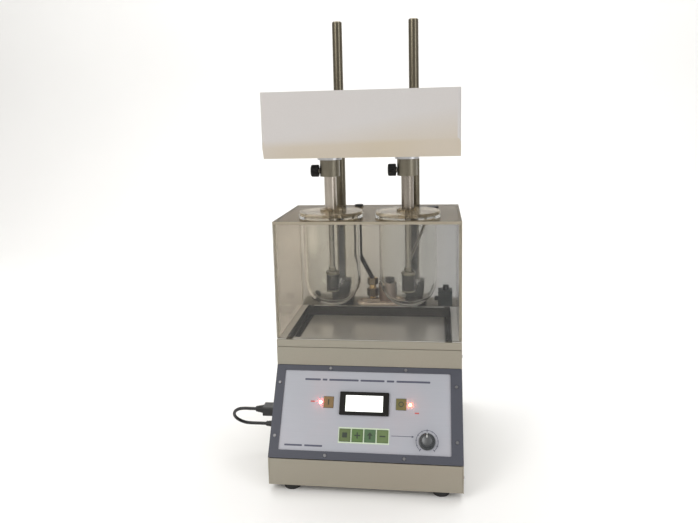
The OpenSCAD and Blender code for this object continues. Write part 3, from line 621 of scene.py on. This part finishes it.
# ------------------------------------------------------------------ side lead
ROUTE = [(-211, -95, 101), (-222, -95, 101), (-232, -95, 101), (-242, -94, 99.5), (-250.5, -90.5, 94.5),
         (-256, -85.5, 87.5), (-258, -80, 79.5), (-256, -74.5, 71.5), (-250.5, -69.5, 64.5), (-242, -66, 59.5),
         (-232, -65, 58), (-216, -65, 58), (-201, -65, 58)]


def catmull(pts, n=4):
    P = [Vector(p) for p in pts]
    P = [2 * P[0] - P[1]] + P + [2 * P[-1] - P[-2]]
    out = []
    for i in range(1, len(P) - 2):
        a, b, c, d = P[i - 1:i + 3]
        for k in range(n):
            t = k / n
            out.append(0.5 * ((2 * b) + (c - a) * t + (2 * a - 5 * b + 4 * c - d) * t * t + (3 * b - a - 3 * c + d) * t ** 3))
    out.append(P[-2])
    return out


route = catmull(ROUTE, 3)
curve = bpy.data.curves.new("lead_cord", "CURVE")
curve.dimensions = "3D"
curve.bevel_depth = 0.003
curve.bevel_resolution = 5
curve.use_fill_caps = True
sp = curve.splines.new("POLY")
sp.points.add(len(route) - 1)
for q, p in zip(sp.points, route):
    q.co = (p.x * MM, p.y * MM, p.z * MM, 1.0)
sp.use_smooth = True
lead = bpy.data.objects.new("lead_cord", curve)
scene.collection.objects.link(lead)
curve.materials.append(M["cord"])
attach(lead, "base")
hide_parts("lead")

# ------------------------------------------------------------------ panel print
def bar(x0, s0, x1, s1, r=0.6):
    return rounded(x0, s0, x1, s1, min(r, (x1 - x0) / 2.01, (s1 - s0) / 2.01), 3)


def flat(name, outlines, h0, h1, mat, body):
    """Thin print on the panel. Outlines that share an edge join into one closed piece."""
    bm = bmesh.new()
    seen, uses = {}, {}

    def at(p, h):
        k = (round(p[0], 4), round(p[1], 4), h)
        if k not in seen:
            seen[k] = bm.verts.new((p[0] * MM, p[1] * MM, h * MM))
        return seen[k]

    def side(a, b):
        return frozenset(((round(a[0], 4), round(a[1], 4)), (round(b[0], 4), round(b[1], 4))))

    for o in outlines:
        for a, b in zip(o, o[1:] + o[:1]):
            uses[side(a, b)] = uses.get(side(a, b), 0) + 1
    for o in outlines:
        bm.faces.new([at(p, h0) for p in reversed(o)])
        bm.faces.new([at(p, h1) for p in o])
        for a, b in zip(o, o[1:] + o[:1]):
            if uses[side(a, b)] == 1:
                bm.faces.new((at(a, h0), at(b, h0), at(b, h1), at(a, h1)))
    return add(name, bm, mat, body, PANEL)


KEY_X = (-35.2, -13.6, 8.0, 29.6)
KEY_S = 41.5
edges_x = [-46.5] + [v for x in KEY_X for v in (x - 9.8, x + 9.8)] + [41.0]
cells = [(a, s0, b, s1) for a, b in zip(edges_x, edges_x[1:]) for s0, s1 in ((28.5, KEY_S - 10.8), (KEY_S + 10.8, 54.5))]
cells += [(a, KEY_S - 10.8, b, KEY_S + 10.8) for a, b in zip(edges_x[::2], edges_x[1::2])]
flat("key_surround", [[(a, b), (c, b), (c, d), (a, d)] for a, b, c, d in cells], -2.02, -1.86, "ink_green", "base")

# plain rules: a long row of bars along the top, a short row at the lower left
top_bars = [(-112, -84), (-80.5, -72), (-68.5, -16), (-12.5, 30), (34, 47), (51, 110)]
flat("top_rule", [bar(a, 133.4, b, 136.8, 1.0) for a, b in top_bars], -2.02, -1.88, "ink", "base")
flat("corner_rule", [bar(-139, 20.6, -108, 23.6, 1.0), bar(-104, 20.6, -73, 23.6, 1.0)], -2.02, -1.88, "ink", "base")
flat("pointer_rule", [bar(44, 42.6, 79, 43.5, 0.4), [(79, 41.2), (83, 43.05), (79, 44.9)]], -2.02, -1.88, "ink", "base")
flat("lamp_marks", [bar(-99, 95.2, -91.5, 97.8, 0.8), bar(83.5, 80.8, 91, 83.2, 0.8)], -2.02, -1.88, "ink_red", "base")

# dial round the knob: an arc, eleven ticks
KX, KS = 104.8, 36.0
arc = []
N_ARC = 48
ring_o = [(KX + 18.9 * math.sin(math.radians(-140 + 280 * k / N_ARC)), KS + 18.9 * math.cos(math.radians(-140 + 280 * k / N_ARC))) for k in range(N_ARC + 1)]
ring_i = [(KX + 18.1 * math.sin(math.radians(-140 + 280 * k / N_ARC)), KS + 18.1 * math.cos(math.radians(-140 + 280 * k / N_ARC))) for k in range(N_ARC + 1)]
for k in range(N_ARC):
    arc.append([ring_i[k], ring_i[k + 1], ring_o[k + 1], ring_o[k]])
for k in range(11):
    a = math.radians(-140 + 28 * k)
    u, v = (math.sin(a), math.cos(a)), (math.cos(a), -math.sin(a))
    w, r0, r1 = (0.55, 16.0, 20.4) if k % 5 == 0 else (0.35, 16.8, 19.6)
    arc.append([(KX + u[0] * r + v[0] * t, KS + u[1] * r + v[1] * t) for r, t in ((r0, -w), (r0, w), (r1, w), (r1, -w))])
flat("dial_marks", arc, -2.02, -1.88, "ink", "base")


def on_key(name, key, x, s0, shapes):
    flat(name, [[(x + a, s0 + b) for a, b in o] for o in shapes], -0.82, -0.66, "ink_dark", key)


on_key("mark_1", "key_1", KEY_X[0], KEY_S, [bar(-4.2, -4.2, 4.2, 4.2, 1.0)])
on_key("mark_2", "key_2", KEY_X[1], KEY_S, [bar(-5, -1.1, 5, 1.1, 0.6), bar(-1.1, 1.1, 1.1, 5, 0.3), bar(-1.1, -5, 1.1, -1.1, 0.3)])
on_key("mark_3", "key_3", KEY_X[2], KEY_S, [[(-5.2, 0.4), (5.2, 0.4), (0, 6.0)], bar(-1.6, -5.6, 1.6, 0.4, 0.4)])
on_key("mark_4", "key_4", KEY_X[3], KEY_S, [bar(-5, -1.1, 5, 1.1, 0.6)])
on_key("mark_left", "key_left", -67.0, 96.0, [bar(-1.1, -4.6, 1.1, 4.6, 0.6)])
ring = [[(math.cos(math.radians(q)) * r, math.sin(math.radians(q)) * r) for q, r in ((t, 3.2), (t + 15, 3.2), (t + 15, 4.6), (t, 4.6))] for t in range(0, 360, 15)]
on_key("mark_right", "key_right", 60.0, 96.0, ring)


# ------------------------------------------------------------------ knobs
def flutes(n, depth, lo, hi):
    def f(r, z, a):
        if lo <= z <= hi:
            return r * (1 - depth * (0.5 + 0.5 * math.cos(n * a)) ** 2)
        return r
    return f


def knob_speed():
    bm = bmesh.new()
    lathe_into(bm, [(4.2, -1.6), (13.2, -1.6), (14.0, -1.0), (13.9, 0.6), (13.2, 1.4), (11.2, 1.7), (10.7, 2.4), (10.6, 3.0), (10.0, 12.6),
                    (9.8, 13.4), (9.2, 14.0), (8.4, 14.1), (8.2, 13.7), (3.2, 13.7), (3.2, 10.4), (4.2, 10.0)], 120, flutes(20, 0.085, 2.5, 12.7))
    lathe_into(bm, [(0, 13.72), (8.1, 13.72), (8.0, 14.3), (7.2, 14.7), (0, 14.8)], 64, closed=False, mat=1)
    o = add("speed_knob_cap", bm, ["knob", "cap"], "speed_knob", PANEL @ move(KX, KS, 0))
    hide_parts("speed_knob")
    bm = bmesh.new()
    prism_into(bm, bar(-0.6, 4.4, 0.6, 8.9, 0.4), 14.0, 14.86)
    prism_into(bm, bar(-0.55, 11.2, 0.55, 13.6, 0.4), 1.1, 1.75)
    add("speed_knob_line", bm, "ink_white", "speed_knob", PANEL @ move(KX, KS, 0))


knob_speed()


def thumb(side, x):
    bm = bmesh.new()
    lathe_into(bm, [(0, 5.6), (2.4, 5.6), (3.0, 6.2), (3.0, 18.6), (0, 18.6)], 40, closed=False, mat=0)
    lathe_into(bm, [(2.0, 18.4), (5.2, 18.4), (5.5, 18.8), (5.5, 20.4), (2.0, 20.4)], 48, mat=0)
    lathe_into(bm, [(0, 20.0), (9.0, 20.0), (10.6, 20.5), (11.0, 21.3), (11.0, 32.2), (10.6, 33.3), (9.4, 34.2), (7.6, 34.5), (6.6, 33.6), (0, 33.4)],
               144, flutes(18, 0.10, 20.4, 33.4), closed=False, mat=1)
    o = add("thumbscrew_head_" + side, bm, ["shaft", "black"], "thumbscrew_" + side, move(x, -35, 536) @ Matrix.Rotation(math.radians(-90), 4, "Y"))
    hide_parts("thumbscrew_" + side)


thumb("left", -70)
thumb("right", 70)

bm = bmesh.new()
lathe_into(bm, [(0, 10.5), (3.2, 10.5), (4.0, 11.4), (4.0, 33.0), (0, 33.0)], 40, closed=False, mat=0)
lathe_into(bm, [(0, 32.0), (8.0, 32.0), (9.2, 33.0), (12.6, 34.2), (13.8, 36.0), (14.0, 38.0), (14.0, 44.0), (13.2, 46.6), (11.0, 48.0), (0, 48.0)], 150,
           lambda r, z, a: r * (1 - 0.20 * (0.5 - 0.5 * math.cos(5 * a)) ** 1.5) if z > 33.5 and r > 9.5 else r, closed=False, mat=1)
o = add("head_lock_grip", bm, ["shaft", "black"], "head_lock_knob", move(77, 145, 620) @ Matrix.Rotation(math.radians(-90), 4, "X"))
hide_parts("head_lock_knob")


# ------------------------------------------------------------------ wire baskets
def wire_into(bm, pts, w, closed=False, mat=0):
    """A square wire of width w (mm) along points in mm, upright sections."""
    P = [Vector(q) for q in pts]
    n = len(P)
    rings = []
    for i in range(n):
        t = (P[(i + 1) % n] - P[i - 1]) if closed else (P[min(i + 1, n - 1)] - P[max(i - 1, 0)])
        t.normalize()
        ref = Vector((0, 0, 1)) if abs(t.z) < 0.8 else Vector((P[i].x, P[i].y, 0)).normalized() if P[i].xy.length > 0.1 else Vector((1, 0, 0))
        a = t.cross(ref).normalized()
        b = a.cross(t)
        rings.append([bm.verts.new((P[i] + (a * ca + b * cb) * (w / 2)) * MM) for ca, cb in ((-1, -1), (1, -1), (1, 1), (-1, 1))])
    for i in range(n if closed else n - 1):
        r, q = rings[i], rings[(i + 1) % n]
        for k in range(4):
            bm.faces.new((r[k], r[(k + 1) % 4], q[(k + 1) % 4], q[k])).material_index = mat
    if not closed:
        bm.faces.new(rings[0]).material_index = mat
        bm.faces.new(rings[-1][::-1]).material_index = mat


def basket(side, x):
    bm = bmesh.new()
    r, z0, z1 = 11.0, 312.0, 350.0
    for k in range(40):
        a = 2 * math.pi * k / 40
        wire_into(bm, [(r * math.cos(a), r * math.sin(a), z0 + 1), (r * math.cos(a), r * math.sin(a), z1 - 5)], 0.75)
    for k in range(17):
        z = z0 + 2 + k * 1.9
        wire_into(bm, [((r + 0.2) * math.cos(2 * math.pi * i / 40), (r + 0.2) * math.sin(2 * math.pi * i / 40), z) for i in range(40)], 0.75, True)
    for k in range(-5, 6):
        c = k * 1.9
        h = math.sqrt(max(0.0, 11.0 ** 2 - c * c))
        wire_into(bm, [(c, -h, z0 + 0.6), (c, h, z0 + 0.6)], 0.5)
        wire_into(bm, [(-h, c, z0 + 1.0), (h, c, z0 + 1.0)], 0.5)
    lathe_into(bm, [(10.4, z0), (11.4, z0), (11.9, z0 + 0.5), (11.9, z0 + 2.6), (11.4, z0 + 3), (10.4, z0 + 3)], 64, mat=1)
    lathe_into(bm, [(0, z1 - 6), (11.8, z1 - 6), (12.5, z1 - 5.4), (12.5, z1 - 1.4), (11.9, z1 - 0.4), (7.6, z1), (7.0, z1 + 0.8), (7.0, z1 + 6.6), (6.2, z1 + 8), (0, z1 + 8)],
               64, closed=False, mat=1)
    for k in range(3):
        a = math.radians(30 + 120 * k)
        ca, sa = math.cos(a), math.sin(a)
        wire_into(bm, [(12.3 * ca, 12.3 * sa, z1 - 1), (12.35 * ca, 12.35 * sa, z1 - 6), (12.2 * ca, 12.2 * sa, z1 - 10), (11.6 * ca, 11.6 * sa, z1 - 13)], 0.9, mat=1)
    o = add("wire_basket_" + side, bm, ["basket", "chuck"], "stirrer_" + side, move(x, -35, 0))
    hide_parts("basket_" + side)


basket("left", -70)
basket("right", 70)


# ------------------------------------------------------------------ small fixings
def screw_into(bm, m, r=3.1, h=1.7):
    b2 = bmesh.new()
    lathe_into(b2, [(0, 0.5 * h), (0.42 * r, 0.5 * h), (0.46 * r, 0.98 * h), (0.70 * r, h), (0.90 * r, 0.72 * h), (r, 0.25 * h), (r, -0.3), (0, -0.3)], 28, closed=False)
    b2.transform(m)
    me = bpy.data.meshes.new("tmp")
    b2.to_mesh(me)
    b2.free()
    bm.from_mesh(me)
    bpy.data.meshes.remove(me)


def toward(x, y, z, axis):
    q = Vector((0, 0, 1)).rotation_difference(Vector(axis)).to_matrix().to_4x4()
    return move(x, y, z) @ q


bm = bmesh.new()
for sx in (-1, 1):
    for y in (-165, -55, 55, 170):
        screw_into(bm, toward(sx * 165, y, 24, (sx, 0, 0)))
    for y in (-75, 60, 178):
        screw_into(bm, toward(sx * 165, y, 204, (sx, 0, 0)))
for x in (-150, -50, 50, 150):
    screw_into(bm, toward(x, 195, 24, (0, 1, 0)))
    screw_into(bm, toward(x, 195, 206, (0, 1, 0)))
for x in (57, 111):
    screw_into(bm, toward(x - 1.5 if x < 60 else x + 1.5, 197.5, 66, (0, 1, 0)), 2.2, 1.2)
add("cabinet_screws", bm, "screw", "base", sharp=40.0)

bm = bmesh.new()
for sx in (-1, 1):
    for y in (-110, 0, 120):
        screw_into(bm, toward(sx * 161, y, 574, (sx, 0, 0)), 2.8, 1.5)
for x in (-120, 0, 120):
    screw_into(bm, toward(x, 175, 574, (0, 1, 0)), 2.8, 1.5)
add("head_screws", bm, "screw", "head", sharp=40.0)

# ribs on the two strain reliefs of the lead
bm = bmesh.new()
for k in range(6):
    t = k / 5
    z = 2.0 + 11.5 * t
    r = 7.5 + (4.6 - 7.5) * z / 15.5
    lathe_into(bm, [(r - 0.6, z - 0.75), (r + 0.25, z - 0.65), (r + 0.5, z), (r + 0.25, z + 0.65), (r - 0.6, z + 0.75)], 40)
bm.transform(toward(-195.5, -95, 101, (-1, 0, 0)))
add("plug_ribs", bm, "black_gloss", "base")
bm = bmesh.new()
for k in range(9):
    z = 7.0 + 27.0 * k / 8
    r = 8.0 + (4.2 - 8.0) * (z - 4) / 32
    lathe_into(bm, [(r - 0.6, z - 0.85), (r + 0.25, z - 0.7), (r + 0.5, z), (r + 0.25, z + 0.7), (r - 0.6, z + 0.85)], 40)
bm.transform(toward(-165, -65, 58, (-1, 0, 0)))
add("gland_ribs", bm, "black_gloss", "base")

# foam strip that closes the joint between the panel and the apron from inside
bm = bmesh.new()
bmesh.ops.create_cube(bm, size=1.0, matrix=Matrix.Translation((0, -0.0984, 0.190)) @ Matrix.Diagonal((0.324, 0.0024, 0.012, 1)))
bmesh.ops.bevel(bm, geom=bm.edges[:], offset=0.0005, segments=2, affect="EDGES")
add("panel_seal", bm, "rubber", "base")

# side panes, with broken edges and a hair of cement room at each end
bm = bmesh.new()
for sx in (-1, 1):
    bmesh.ops.create_cube(bm, size=1.0, matrix=move(sx * 162.5, 11.0, 343.25) @ Matrix.Diagonal((0.005, 0.2112, 0.2071, 1)))
bmesh.ops.bevel(bm, geom=bm.edges[:], offset=0.0004, segments=2, affect="EDGES")
for f in bm.faces:
    f.normal_update()
    f.material_index = 0 if abs(f.normal.x) > 0.9 else 1
o = add("side_sheets", bm, ["pane_side", "edge"], "base", sharp=20.0)
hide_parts("side_panes")

# blanking plug on the rear pane, inside the bath
bm = bmesh.new()
lathe_into(bm, [(0, -0.2), (8.4, -0.2), (8.4, 1.4), (7.8, 2.0), (6.0, 2.2), (5.6, 3.2), (0, 3.4)], 40, closed=False)
bm.transform(toward(-133, 117, 259, (0, -1, 0)))
add("blanking_plug", bm, "black", "base")

# a bar on the full face of the rocker and a ring in its hollow face
bm = bmesh.new()


def skin_into(bm, rows, lift):
    """A thin skin through rows of (point, outward) pairs, in mm."""
    lo = [[bm.verts.new((p - 0.04 * n) * MM) for p, n in row] for row in rows]
    hi = [[bm.verts.new((p + lift * n) * MM) for p, n in row] for row in rows]
    last = len(rows[0]) - 1
    for a in range(len(rows) - 1):
        for k in range(last):
            bm.faces.new((hi[a][k], hi[a][k + 1], hi[a + 1][k + 1], hi[a + 1][k]))
            bm.faces.new((lo[a][k], lo[a + 1][k], lo[a + 1][k + 1], lo[a][k + 1]))
        bm.faces.new((lo[a][0], hi[a][0], hi[a + 1][0], lo[a + 1][0]))
        bm.faces.new((lo[a][last], lo[a + 1][last], hi[a + 1][last], hi[a][last]))
    return lo, hi


def on_full(x, deg):
    n = Vector((0, math.cos(math.radians(deg)), math.sin(math.radians(deg))))
    return Vector((66 + x, 191, 66)) + 9.6 * n, n


def on_hollow(x, s):
    a = math.atan2(6.0, 11.5) + s / 9.0
    n = Vector((0, math.cos(a), math.sin(a)))
    return Vector((66 + x, 202.5, 72)) - 9.0 * n, n


lo, hi = skin_into(bm, [[on_full(-0.5, d), on_full(0.5, d)] for d in range(-46, -25, 4)], 0.06)
for k in (0, -1):
    bm.faces.new((lo[k][0], lo[k][1], hi[k][1], hi[k][0]))
ring = [(math.cos(2 * math.pi * k / 32), math.sin(2 * math.pi * k / 32)) for k in range(33)]
skin_into(bm, [[on_hollow(1.35 * c, 1.35 * d), on_hollow(2.05 * c, 2.05 * d)] for c, d in ring], 0.06)
bmesh.ops.remove_doubles(bm, verts=bm.verts[:], dist=0.000001)
add("rocker_marks", bm, "ink_white", "power_switch")

# ------------------------------------------------------------------ floor and light
bm = bmesh.new()
S = 12.0
prof = [(-S, 0.0), (1.6, 0.0)] + [(1.6 + 0.9 * math.sin(a), 0.9 - 0.9 * math.cos(a)) for a in [math.radians(9 * k) for k in range(1, 11)]] + [(2.5, 4.0)]
rows = [[bm.verts.new((x, y, z - 0.0002)) for x in (-S, S)] for y, z in prof]
for a, b in zip(rows, rows[1:]):
    bm.faces.new((a[0], a[1], b[1], b[0]))
me = bpy.data.meshes.new("floor")
bm.to_mesh(me)
bm.free()
for p in me.polygons:
    p.use_smooth = True
floor = bpy.data.objects.new("floor", me)
scene.collection.objects.link(floor)
fg = Graph("floor_pale")
fg.set(Base_Color=fg.mix(fg.noise(1.5, 2.0), (0.86, 0.86, 0.855), (0.90, 0.90, 0.895)), Roughness=0.75)
me.materials.append(fg.m)

world = bpy.data.worlds.new("studio")
scene.world = world
world.use_nodes = True
wt = world.node_tree
bg = wt.nodes["Background"]
tc = wt.nodes.new("ShaderNodeTexCoord")
sep = wt.nodes.new("ShaderNodeSeparateXYZ")
wt.links.new(tc.outputs["Generated"], sep.inputs[0])


def sky_ramp(sock, stops):
    n = wt.nodes.new("ShaderNodeValToRGB")
    e = n.color_ramp.elements
    while len(e) < len(stops):
        e.new(0.5)
    for k, (p, c) in zip(e, stops):
        k.position, k.color = p, (*c, 1.0)
    r = wt.nodes.new("ShaderNodeMapRange")
    wt.links.new(sock, r.inputs["Value"])
    r.inputs["From Min"].default_value = -1.0
    wt.links.new(r.outputs[0], n.inputs[0])
    return n.outputs[0]


# a bright ceiling, dimmer toward the front of the room
high = sky_ramp(sep.outputs["Z"], [(0.0, (0.30, 0.29, 0.27)), (0.5, (0.62, 0.61, 0.59)), (0.72, (0.75, 0.74, 0.72)), (1.0, (1.0, 0.99, 0.97))])
front = sky_ramp(sep.outputs["Y"], [(0.0, (0.85, 0.84, 0.83)), (0.35, (0.85, 0.84, 0.83)), (0.62, (1.0, 1.0, 1.0)), (1.0, (1.0, 1.0, 1.0))])
mul = wt.nodes.new("ShaderNodeMix")
mul.data_type, mul.blend_type = "RGBA", "MULTIPLY"
mul.inputs[0].default_value = 1.0
wt.links.new(high, mul.inputs[6])
wt.links.new(front, mul.inputs[7])
wt.links.new(mul.outputs[2], bg.inputs["Color"])
bg.inputs["Strength"].default_value = 0.89


def area(name, loc, target, size, power, color=(1, 1, 1)):
    d = bpy.data.lights.new(name, "AREA")
    d.shape = "RECTANGLE"
    d.size, d.size_y = size
    d.energy = power
    d.color = color
    o = bpy.data.objects.new(name, d)
    scene.collection.objects.link(o)
    o.location = loc
    o.rotation_euler = (Vector(target) - Vector(loc)).to_track_quat("-Z", "Y").to_euler()
    return o


area("key", (-1.5, -1.9, 1.8), (0, 0, 0.45), (1.2, 1.6), 30, (1.0, 0.98, 0.95))
area("fill", (1.9, -1.4, 1.1), (0, 0, 0.4), (0.9, 1.6), 13.4, (0.95, 0.97, 1.0))
area("back", (0.0, 0.9, 3.0), (0, 1.6, 0.2), (3.4, 1.6), 53)
